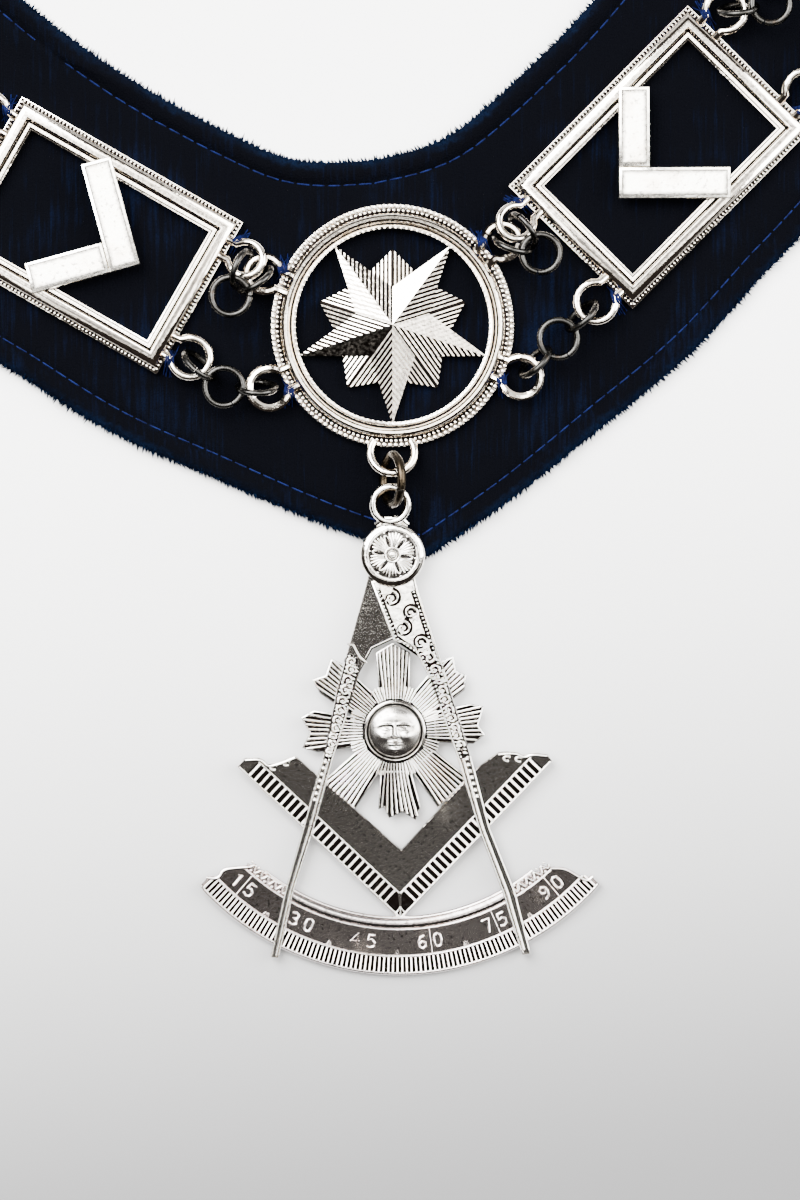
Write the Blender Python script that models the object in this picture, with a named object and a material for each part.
"""Ceremonial chain collar laid flat: a velvet band, a star roundel, eleven
oblong links joined by rows of jump rings, and a pendant jewel.

Sizes are millimetres in the tables and metres in the meshes.  The origin is on
the flat underside of the velvet, below the centre of the star roundel; +Y runs
up the collar to the back of the neck and +Z is up, off the table.
"""
import math

import bmesh
import bpy
from mathutils import Matrix, Vector

MM = 0.001

# ---- the band ------------------------------------------------------------
HALF_BAND = 31.0          # centreline to either edge of the velvet
CLOTH = 1.8               # lined velvet between the two edge rolls
ROLL = 2.7                # height of the turned edge
ROUNDEL_R = 24.2          # outside of the roundel
LINK_L, LINK_W, LINK_BAND = 50.8, 34.9, 5.0
FRONT_GAP = 14.9          # roundel's edge to the first link
LINK_GAP = 23.9           # one link's edge to the next, along the centreline
FRONT_LENGTH = ROUNDEL_R + FRONT_GAP + LINK_L / 2
PITCH = LINK_L + LINK_GAP
LINKS = 5                 # links on each side, and one more at the back
HALF_LOOP = FRONT_LENGTH + LINKS * PITCH
HEADINGS = [(0, 0), (14, 16), (30, 27), (FRONT_LENGTH, 37.5),
            (FRONT_LENGTH + PITCH, 57), (FRONT_LENGTH + 2 * PITCH, 84),
            (FRONT_LENGTH + 3 * PITCH, 115.5), (FRONT_LENGTH + 4 * PITCH, 148),
            (HALF_LOOP, 180)]
INNER_FRONT = [(0, 33.3), (10, 34.3), (18, 36.8), (27.5, 42.7)]
OUTER_FRONT = [(0, -46.8), (18, -37.8), (38, -26.0), (58, -13.6)]

# ---- metal heights above the table ---------------------------------------
BACK = 2.1                # underside of roundel and links
LOOP_Z = 5.0              # middle of the cast loops' wire
LOOP_WIRE = 0.875
LOOP_R = 3.925
SMALL_LOOP_R = 3.425      # the two loops that overlap beside the roundel
RING_R = 3.75             # jump ring, middle of the wire
RING_WIRE = 0.65
RING_LEAN = math.radians(20)
RING_Z = 2.75 + RING_R * math.cos(RING_LEAN)   # middle of a ring on edge

# ---- roundel and links ---------------------------------------------------
DOWN = math.radians(-97.8)            # the way the roundel and jewel hang
ROUNDEL_BAND = 5.0                    # width of the roundel's ring
ROUNDEL_OPEN = ROUNDEL_R - ROUNDEL_BAND
LOOP_REACH = 3.3                      # roundel's edge to its loops
LOOP_OUT = ROUNDEL_R + LOOP_REACH
ROUNDEL_LOOPS = {"inner_r": 29.5, "inner_l": 150.5,
                 "outer_r": -29.7, "outer_l": 199.3}
LINK_LOOP_REACH = 4.2                 # frame's short side to its loops
LINK_LOOP_INSET = 6.25                # frame's long side to its loops
LOOP_U = LINK_L / 2 + LINK_LOOP_REACH
LOOP_V = LINK_W / 2 - LINK_LOOP_INSET
ARM_LENGTH, ARM_WIDTH = 22.2, 6.2     # the square laid across a link
ARM_SETBACK = 11.8                    # link's centre to the square's corner
BAIL_R, BAIL_WIRE = 4.1, 0.9
BAIL_OUT = ROUNDEL_R + 1.2            # roundel centre to the bail's middle
PENDANT_R, PENDANT_WIRE = 4.85, 0.9
PENDANT_OUT = ROUNDEL_R + 6.6         # roundel centre to the pendant ring


def new_object(name, verts, faces, unit=MM):
    """Mesh object from millimetre points, faces turned outward."""
    bm = bmesh.new()
    points = [bm.verts.new(Vector(v) * unit) for v in verts]
    for face in faces:
        bm.faces.new([points[i] for i in face])
    bmesh.ops.recalc_face_normals(bm, faces=bm.faces[:])
    bmesh.ops.triangulate(bm, faces=bm.faces[:])
    mesh = bpy.data.meshes.new(name)
    bm.to_mesh(mesh)
    bm.free()
    obj = bpy.data.objects.new(name, mesh)
    bpy.context.scene.collection.objects.link(obj)
    return obj


def place(points, angle=0.0, at=(0, 0, 0), tilt=0.0):
    """Points tilted about local Y, turned about Z, then moved."""
    turn = (Matrix.Translation(Vector(at)) @ Matrix.Rotation(angle, 4, "Z")
            @ Matrix.Rotation(tilt, 4, "Y"))
    return [turn @ Vector(p) for p in points]


def tube(path, radius, sides, closed=False):
    """Wire of round section along a list of points (flat or gently bent)."""
    verts, faces, n = [], [], len(path)
    pts = [Vector(p) for p in path]
    for i, p in enumerate(pts):
        a = pts[(i - 1) % n] if closed or i else p
        b = pts[(i + 1) % n] if closed or i < n - 1 else p
        t = (b - a).normalized()
        centre = sum(pts, Vector()) / n
        side = (p - centre)
        side = (side - t * side.dot(t)).normalized()
        up = t.cross(side)
        for k in range(sides):
            w = 2 * math.pi * k / sides
            verts.append(p + radius * (side * math.cos(w) + up * math.sin(w)))
    rows = n if closed else n - 1
    for i in range(rows):
        for k in range(sides):
            j, m = (i + 1) % n, (k + 1) % sides
            faces.append((i * sides + k, i * sides + m,
                          j * sides + m, j * sides + k))
    if not closed:
        faces.append(tuple(range(sides)))
        faces.append(tuple(range((n - 1) * sides, n * sides)))
    return verts, faces


def lathe(profile, steps):
    """Closed (radius, height) profile turned about Z; radius 0 is a pole."""
    verts, faces, index = [], [], []
    for r, z in profile:
        if r == 0:
            index.append([len(verts)] * steps)
            verts.append((0, 0, z))
        else:
            index.append(list(range(len(verts), len(verts) + steps)))
            verts += [(r * math.cos(2 * math.pi * i / steps),
                       r * math.sin(2 * math.pi * i / steps), z)
                      for i in range(steps)]
    for a, b in zip(index, index[1:] + index[:1]):
        for i in range(steps):
            ring = [a[i], a[(i + 1) % steps], b[(i + 1) % steps], b[i]]
            loop = [v for k, v in enumerate(ring) if v != ring[k - 1]]
            if len(loop) > 2:
                faces.append(tuple(loop))
    return verts, faces


def inset(outline, depth):
    """Outline moved inward by depth, corners mitred (anticlockwise input)."""
    out, n = [], len(outline)
    for i in range(n):
        a, b, c = (Vector(outline[(i + k) % n]) for k in (-1, 0, 1))
        d1, d2 = (b - a).normalized(), (c - b).normalized()
        n1, n2 = Vector((-d1.y, d1.x)), Vector((-d2.y, d2.x))
        m = (n1 + n2)
        m = m / max(m.dot(n1), 0.5)
        out.append(tuple(b + m * depth))
    return out


def plate(outline, low, high, bevel=0.0):
    """Flat plate from an outline, with a bevelled upper edge if asked."""
    area = sum(a[0] * b[1] - b[0] * a[1]
               for a, b in zip(outline, outline[1:] + outline[:1]))
    ring = list(outline) if area > 0 else list(outline)[::-1]
    layers = [[(x, y, low) for x, y in ring],
              [(x, y, high - bevel) for x, y in ring]]
    if bevel:
        layers.append([(x, y, high) for x, y in inset(ring, bevel)])
    n = len(ring)
    verts = [p for layer in layers for p in layer]
    faces = [tuple(range(n))[::-1],
             tuple(range((len(layers) - 1) * n, len(layers) * n))]
    for k in range(len(layers) - 1):
        for i in range(n):
            j = (i + 1) % n
            faces.append((k * n + i, k * n + j, (k + 1) * n + j, (k + 1) * n + i))
    return verts, faces


def tidy(mesh, scale=1.0, flat=0.0):
    """Merge coincident points, join flat faces and leave clean triangles."""
    bm = bmesh.new()
    bm.from_mesh(mesh)
    bmesh.ops.remove_doubles(bm, verts=bm.verts[:], dist=0.002)
    bmesh.ops.dissolve_degenerate(bm, edges=bm.edges[:], dist=0.002)
    if flat:
        bmesh.ops.dissolve_limit(bm, angle_limit=flat, verts=bm.verts[:],
                                 edges=bm.edges[:])
    bmesh.ops.triangulate(bm, faces=bm.faces[:])
    bmesh.ops.recalc_face_normals(bm, faces=bm.faces[:])
    bmesh.ops.scale(bm, vec=(scale,) * 3, verts=bm.verts[:])
    bm.to_mesh(mesh)
    bm.free()


def solder(name, pieces):
    """Fuse closed pieces into one solid, worked at one unit per millimetre."""
    objs = [new_object(f"{name}_{i}", v, f, 1.0)
            for i, (v, f) in enumerate(pieces)]
    base = objs[0]
    for other in objs[1:]:
        fuse = base.modifiers.new("solder", "BOOLEAN")
        fuse.operation, fuse.solver, fuse.object = "UNION", "EXACT", other
        graph = bpy.context.evaluated_depsgraph_get()
        mesh = bpy.data.meshes.new_from_object(base.evaluated_get(graph))
        base.modifiers.clear()
        base.data = mesh
        tidy(mesh)
        bpy.data.objects.remove(other)
    tidy(base.data, MM, math.radians(0.4))
    base.name = base.data.name = name
    return base


def moved(piece, angle=0.0, at=(0, 0, 0), tilt=0.0):
    """A (points, faces) piece tilted, turned and moved."""
    return place(piece[0], angle, at, tilt), piece[1]


# ---- path of the collar ---------------------------------------------------

def heading_at(s):
    """Heading in radians of the centreline at arc length s."""
    for (a, ha), (b, hb) in zip(HEADINGS, HEADINGS[1:]):
        if s <= b:
            return math.radians(ha + (hb - ha) * (s - a) / (b - a))
    return math.pi


def centreline(steps=1200):
    """Right half of the centreline, closed on the axis at the back."""
    x, y, ds = -0.4, -0.2, HALF_LOOP / steps
    points = [(x, y)]
    for i in range(steps):
        h = heading_at((i + 0.5) * ds)
        x, y = x + math.cos(h) * ds, y + math.sin(h) * ds
        points.append((x, y))
    slack = points[-1][0]
    out = []
    for i, (px, py) in enumerate(points):
        w = max(0.0, (i * ds - FRONT_LENGTH) / (HALF_LOOP - FRONT_LENGTH))
        out.append((px - slack * w * w * (3 - 2 * w), py))
    return out


LINE = centreline()


def on_line(s):
    """Point and heading of the centreline at arc length s, right side."""
    f = s / HALF_LOOP * (len(LINE) - 1)
    i = min(int(f), len(LINE) - 2)
    (x0, y0), (x1, y1) = LINE[i], LINE[i + 1]
    return (x0 + (x1 - x0) * (f - i), y0 + (y1 - y0) * (f - i),
            math.atan2(y1 - y0, x1 - x0))


def link_pose(side, number):
    """Centre and direction of the chain at a link; side is +1 right, -1 left."""
    x, y, h = on_line(FRONT_LENGTH + number * PITCH)
    return (x, y, h) if side > 0 else (-x, y, math.pi - h)


# ---- velvet ----------------------------------------------------------------

def velvet():
    """Lined velvet band with a turned, stitched roll along both edges."""
    edges = list(zip(INNER_FRONT, OUTER_FRONT))
    stations = 16
    for k in range(stations + 1):
        s = FRONT_LENGTH + (HALF_LOOP - FRONT_LENGTH) * k / stations
        x, y, h = on_line(s)
        nx, ny = -math.sin(h) * HALF_BAND, math.cos(h) * HALF_BAND
        inner = (x + nx, y + ny)
        outer = (x - nx, y - ny)
        if k == stations:
            inner, outer = (0, inner[1]), (0, outer[1])
        edges.append((inner, outer))
    left = [((-a[0], a[1]), (-b[0], b[1])) for a, b in edges[1:-1]]
    ring = edges + left[::-1]
    section = [(0.5, 0.0), (0.0, 1.3), (1.6, ROLL), (3.9, 2.3), (4.7, CLOTH),
               (-4.7, CLOTH), (-3.9, 2.3), (-1.6, ROLL), (0.0, 1.3), (-0.5, 0.0)]
    verts, n = [], len(section)
    for i, (a, b) in enumerate(ring):
        a, b = Vector(a), Vector(b)
        along = (b - a).normalized()
        for k, (w, z) in enumerate(section):
            base = a if k < n // 2 else b
            p = base + along * w
            verts.append((p.x, p.y, z))
    faces = []
    m = len(ring)
    for i in range(m):
        j = (i + 1) % m
        for k in range(n):
            l = (k + 1) % n
            faces.append((i * n + k, i * n + l, j * n + l, j * n + k))
    return new_object("velvet_collar", verts, faces)


# ---- roundel ---------------------------------------------------------------

def star(tips, tip_r, valley_r, first, centre_z, edge_z, low):
    """Faceted star: ridges to the tips, grooves to the valleys."""
    verts = [(0, 0, low), (0, 0, centre_z)]
    n = tips * 2
    for i in range(n):
        a = first + math.pi * i / tips
        r = tip_r if i % 2 == 0 else valley_r
        verts.append((r * math.cos(a), r * math.sin(a), low))
        verts.append((r * math.cos(a), r * math.sin(a), edge_z))
    faces = []
    for i in range(n):
        a, b = 2 + 2 * i, 2 + 2 * ((i + 1) % n)
        faces += [(0, b, a), (1, a + 1, b + 1), (a, b, b + 1, a + 1)]
    return verts, faces


def cast_loop(radius, rise=0.0):
    """Open cast loop lying flat, its gap toward -X where it meets the frame."""
    path = []
    reach = math.radians(146)
    for i in range(7):
        a = -reach + 2 * reach * i / 6
        x, y = radius * math.cos(a), radius * math.sin(a)
        path.append((x, y, (x + 4.2) * rise))
    path[0] = (-5.0, path[0][1], -1.2)
    path[-1] = (-5.0, path[-1][1], -1.2)
    return tube(path, LOOP_WIRE, 5)


def roundel():
    """Ringed star with four chain loops and the bail for the jewel."""
    rim, inside = ROUNDEL_R, ROUNDEL_OPEN
    frame = lathe([(rim, BACK), (rim, 3.9), (rim - 1.6, 4.3), (rim - 2.1, 5.2),
                   (rim - 2.6, 5.2), (rim - 3.1, 4.2), (inside + 1.0, 4.2),
                   (inside + 0.7, 4.8), (inside, 4.7), (inside, BACK)], 36)
    pieces = [frame,
              star(5, inside + 0.5, inside - 11.6, DOWN, 6.2, 3.95, 2.9),
              star(5, inside - 4.0, inside - 8.3, DOWN + math.radians(36),
                   5.2, 3.6, 2.5)]
    for name, deg in ROUNDEL_LOOPS.items():
        a = math.radians(deg)
        small = name.startswith("inner")
        radius = SMALL_LOOP_R if small else LOOP_R
        pieces.append(moved(cast_loop(radius), a,
                            (LOOP_OUT * math.cos(a), LOOP_OUT * math.sin(a),
                             LOOP_Z)))
    path = []
    for i in range(9):
        a = math.radians(-125 + 250 * i / 8)
        r = BAIL_OUT + BAIL_R * math.cos(a)
        path.append((r, (BAIL_R + 0.35) * math.sin(a),
                     3.7 + (r - ROUNDEL_R + 0.8) * 0.27))
    pieces.append(moved(tube(path, BAIL_WIRE, 6), DOWN))
    return solder("star_roundel", pieces)


# ---- oblong links ------------------------------------------------------------

def link(name, side, number):
    """Oblong frame, the square laid across it, and four cast loops."""
    section = [(0.0, BACK), (0.0, 3.9), (1.6, 3.8), (2.4, 5.1), (3.4, 5.1),
               (4.1, 4.2), (LINK_BAND, 4.1), (LINK_BAND, BACK)]
    verts = []
    for sx, sy in ((1, 1), (-1, 1), (-1, -1), (1, -1)):
        verts += [(sx * (LINK_L / 2 - d), sy * (LINK_W / 2 - d), z)
                  for d, z in section]
    n = len(section)
    faces = [(i * n + k, i * n + (k + 1) % n,
              ((i + 1) % 4) * n + (k + 1) % n, ((i + 1) % 4) * n + k)
             for i in range(4) for k in range(n)]
    leg, wide = ARM_LENGTH * math.sqrt(0.5), ARM_WIDTH * math.sqrt(0.5)
    v = -ARM_SETBACK
    outline = [(v, 0), (v + leg, -leg), (v + leg + wide, -leg + wide),
               (v + 2 * wide, 0), (v + leg + wide, leg - wide), (v + leg, leg)]
    pieces = [(verts, faces), plate(outline, 4.45, 6.3, 0.5)]
    for su in (1, -1):
        for sv in (1, -1):
            front = number == 0 and su < 0 and sv == side
            loop = cast_loop(SMALL_LOOP_R if front else LOOP_R,
                             math.tan(math.radians(20)) if front else 0.0)
            pieces.append(moved(loop, 0.0 if su > 0 else math.pi,
                                (su * LOOP_U, sv * LOOP_V, LOOP_Z)))
    x, y, h = link_pose(side, number)
    # the outer end of every link has its loops away from the roundel
    return solder(name, [moved(p, h, (x, y, 0)) for p in pieces])


# ---- jump rings ----------------------------------------------------------------

def ring_path(radius, sides=10):
    return [(radius * math.cos(2 * math.pi * i / sides),
             radius * math.sin(2 * math.pi * i / sides), 0) for i in range(sides)]


def upright_ring(x, y, angle, hand):
    """Ring on edge along the given direction, leaning left or right (hand)."""
    flat, faces = tube(ring_path(RING_R), RING_WIRE, 5, closed=True)
    stand = (Matrix.Rotation(math.pi / 2 - hand * RING_LEAN, 4, "X")
             @ Matrix.Rotation(math.pi / 10, 4, "Z"))
    turn = Matrix.Translation((x, y, RING_Z)) @ Matrix.Rotation(angle, 4, "Z")
    return [turn @ stand @ p for p in flat], faces


def ring_row(name, start, end, outward, least=2.5, middle_z=6.9):
    """Three jump rings between two loops: on edge, flat, on edge.

    A long gap is bridged straight; a short one bows toward the outward side.
    """
    q, r = Vector(start), Vector(end)
    gap = (r - q).length
    off = (middle_z - RING_Z) / math.cos(RING_LEAN)
    reach = math.sqrt(RING_R ** 2 - off ** 2) - 0.95 + RING_R
    lead = max(least, gap / 2 - reach)
    arm = lead + reach
    along = (r - q).normalized()
    lean = Vector((-along.y, along.x))
    hand = 1 if lean.dot(Vector(outward)) > 0 else -1
    lean = lean * hand
    bow = math.sqrt(max(0.0, arm ** 2 - (gap / 2) ** 2))
    centre = (q + r) / 2 + lean * bow
    pieces = []
    for loop in (q, r):
        way = (centre - loop).normalized()
        at = loop + way * lead
        facing = hand if loop is q else -hand
        pieces.append(upright_ring(at.x, at.y, math.atan2(way.y, way.x), facing))
    flat = tube(ring_path(RING_R), RING_WIRE, 5, closed=True)
    turn = math.atan2(along.y, along.x) if bow < 1 else math.atan2(
        (q - centre).y, (q - centre).x)
    pieces.insert(1, moved(flat, turn, (centre.x, centre.y, middle_z)))
    return solder(name, pieces)


def loop_centre(pose, su, sv):
    x, y, h = pose
    u, v = (math.cos(h), math.sin(h)), (-math.sin(h), math.cos(h))
    return (x + su * LOOP_U * u[0] + sv * LOOP_V * v[0],
            y + su * LOOP_U * u[1] + sv * LOOP_V * v[1])


def chain_rows():
    """Two rows of rings in every gap of the chain."""
    for side, tag in ((1, "r"), (-1, "l")):
        for row, sv in (("inner", side), ("outer", -side)):
            a = math.radians(ROUNDEL_LOOPS[f"{row}_{tag}"])
            start = (LOOP_OUT * math.cos(a), LOOP_OUT * math.sin(a))
            for number in range(LINKS + 1):
                pose = link_pose(side, number)
                end = loop_centre(pose, -1, sv)
                outward = (side * math.sin(pose[2]), -side * math.cos(pose[2]))
                tight = number == 0 and row == "inner"
                ring_row(f"rings_{tag}{number + 1}_{row}", start, end, outward,
                         2.1 if tight else 2.5, 8.3 if tight else 6.9)
                start = loop_centre(pose, 1, sv)


# ---- jewel -----------------------------------------------------------------------

JEWEL_DISC = ROUNDEL_R + 21.4   # roundel centre to the hinge disc
JEWEL_TURN = math.radians(-6.6)
JEWEL_BACK = 3.15            # underside at the hinge disc
JEWEL_LEAN = math.atan((JEWEL_BACK - 0.05) / 84.0)
COMPASS = [(-5.0, -4.0), (-5.9, -7.4), (-9.4, -18.9), (-11.9, -27.6), (-14.7, -40.1),
           (-19.0, -54.2), (-22.8, -66.7), (-26.0, -79.9), (-24.4, -80.1),
           (-21.2, -66.8), (-16.8, -54.2), (-12.8, -40.7), (-10.1, -32.9),
           (-7.1, -23.5), (-4.4, -18.7), (-0.3, -16.9), (3.9, -18.6),
           (6.9, -24.9), (12.0, -40.4), (16.0, -54.9), (20.5, -67.7),
           (24.2, -80.5), (25.9, -80.3), (23.0, -67.7), (18.2, -54.9),
           (14.8, -40.5), (10.6, -25.8), (4.7, -7.2), (4.2, -4.0)]
SQUARE = [(-32.0, -41.6), (-30.2, -39.9), (-27.3, -39.9), (-25.7, -41.1),
          (-23.5, -40.8), (-20.3, -39.6), (-17.2, -42.5), (0.5, -58.9),
          (16.4, -42.5), (20.3, -39.8), (23.5, -39.7), (25.4, -40.4),
          (27.3, -40.0), (30.0, -40.3), (31.2, -41.8), (0.1, -73.0)]
SUN = (-0.3, -35.2)
RAYS = [(-90, [(-3.6, 15.6), (-2.4, 15.2), (-1.5, 17.4), (1.2, 16.2), (3.8, 17.9), (4.9, 15.5)]),
        (-132, [(-4.2, 17.0), (4.2, 17.0)]),
        (180, [(-4.4, 16.0), (-3.0, 18.6), (0.0, 16.9), (3.0, 18.5), (3.9, 15.5)]),
        (139, [(-3.6, 16.6), (-2.9, 18.9), (0.3, 17.6), (2.7, 19.1), (3.8, 16.2)]),
        (90, [(-3.4, 15.6), (0, 17.6), (3.4, 15.6)]),
        (42, [(-3.6, 15.8), (-1.6, 18.0), (0.4, 17.0), (2.8, 18.6), (3.9, 15.8)]),
        (4, [(-4.0, 15.4), (-2.4, 17.8), (-0.4, 16.6), (3.2, 18.1), (4.0, 15.6)]),
        (-48, [(-4.2, 17.0), (4.2, 17.0)])]
ARC_CENTRE, ARC_R, ARC_BAND = (0.6, -30.4), 53.7, 11.8
ARC_LEFT = [(-22.8, -65.6), (-29.5, -61.4), (-31.9, -61.5), (-34.5, -61.9),
            (-35.8, -63.4), (-38.0, -63.3), (-39.7, -65.0)]
ARC_RIGHT = [(40.1, -66.6), (38.2, -64.8), (36.7, -65.4), (32.8, -63.2),
             (29.9, -62.9), (23.4, -66.0)]


def arc_outline():
    """Protractor band: stepped ends, outer arc, inner arc."""
    cx, cy = ARC_CENTRE

    def sweep(radius, first, last, count):
        a = math.atan2(first[1] - cy, first[0] - cx)
        b = math.atan2(last[1] - cy, last[0] - cx)
        return [(cx + radius * math.cos(a + (b - a) * i / count),
                 cy + radius * math.sin(a + (b - a) * i / count))
                for i in range(1, count)]
    return (ARC_LEFT + sweep(ARC_R, ARC_LEFT[-1], ARC_RIGHT[0], 22)
            + ARC_RIGHT + sweep(ARC_R - ARC_BAND, ARC_RIGHT[-1], ARC_LEFT[0], 13))


def jewel():
    """Compass, square, sun and protractor soldered together, with the eye."""
    pieces = [plate(arc_outline(), 0.0, 1.7, 0.25),
              plate(SQUARE, 0.1, 1.5, 0.25)]
    disc = lathe([(0, 0.35), (9.1, 0.35), (9.1, 1.35), (6.1, 1.6), (5.9, 2.3),
                  (5.2, 2.4), (4.4, 3.1), (2.4, 3.7), (0, 3.8)], 18)
    pieces.append(moved(disc, 0.0, (SUN[0], SUN[1], 0)))
    for deg, tips in RAYS:
        a = math.radians(deg)
        c, s = math.cos(a), math.sin(a)
        pts = [(8.0, -2.3)] + [(r, t) for t, r in tips] + [(8.0, 2.3)]
        pieces.append(plate([(SUN[0] + c * r - s * t, SUN[1] + s * r + c * t)
                             for r, t in pts], 0.5, 1.25, 0.0))
    pieces.append(plate(COMPASS, 0.85, 2.6, 0.3))
    hinge = lathe([(0, 0.1), (6.5, 0.1), (6.5, 2.6), (5.9, 3.0), (5.1, 2.75),
                   (2.6, 3.1), (1.2, 3.5), (0, 3.6)], 24)
    pieces.append(hinge)
    eye = tube([(3.45 * math.cos(2 * math.pi * i / 14) - 0.2,
                 3.45 * math.sin(2 * math.pi * i / 14) + 10.0, 1.9)
                for i in range(14)], 0.85, 6, closed=True)
    pieces.append(eye)
    x, y = JEWEL_DISC * math.cos(DOWN), JEWEL_DISC * math.sin(DOWN)
    turn = (Matrix.Translation((x, y, JEWEL_BACK)) @
            Matrix.Rotation(JEWEL_TURN, 4, "Z") @
            Matrix.Rotation(JEWEL_LEAN, 4, "X"))
    return solder("jewel", [([turn @ Vector(p) for p in v], f) for v, f in pieces])


def pendant_ring():
    """Heavier ring on edge, leaning a little, joining bail and eye."""
    flat, faces = tube(ring_path(PENDANT_R, 14), PENDANT_WIRE, 6, closed=True)
    lean = math.radians(68)
    turn = (Matrix.Translation((PENDANT_OUT * math.cos(DOWN),
                                PENDANT_OUT * math.sin(DOWN),
                                BACK + PENDANT_WIRE + PENDANT_R * math.sin(lean)))
            @ Matrix.Rotation(DOWN, 4, "Z") @ Matrix.Rotation(lean, 4, "X"))
    return new_object("pendant_ring", [turn @ p for p in flat], faces)


def main():
    for obj in list(bpy.data.objects):
        bpy.data.objects.remove(obj)
    velvet()
    roundel()
    for side, tag in ((1, "r"), (-1, "l")):
        for number in range(LINKS):
            link(f"link_{tag}{number + 1}", side, number)
    link("link_back", 1, LINKS)
    chain_rows()
    pendant_ring()
    jewel()


main()
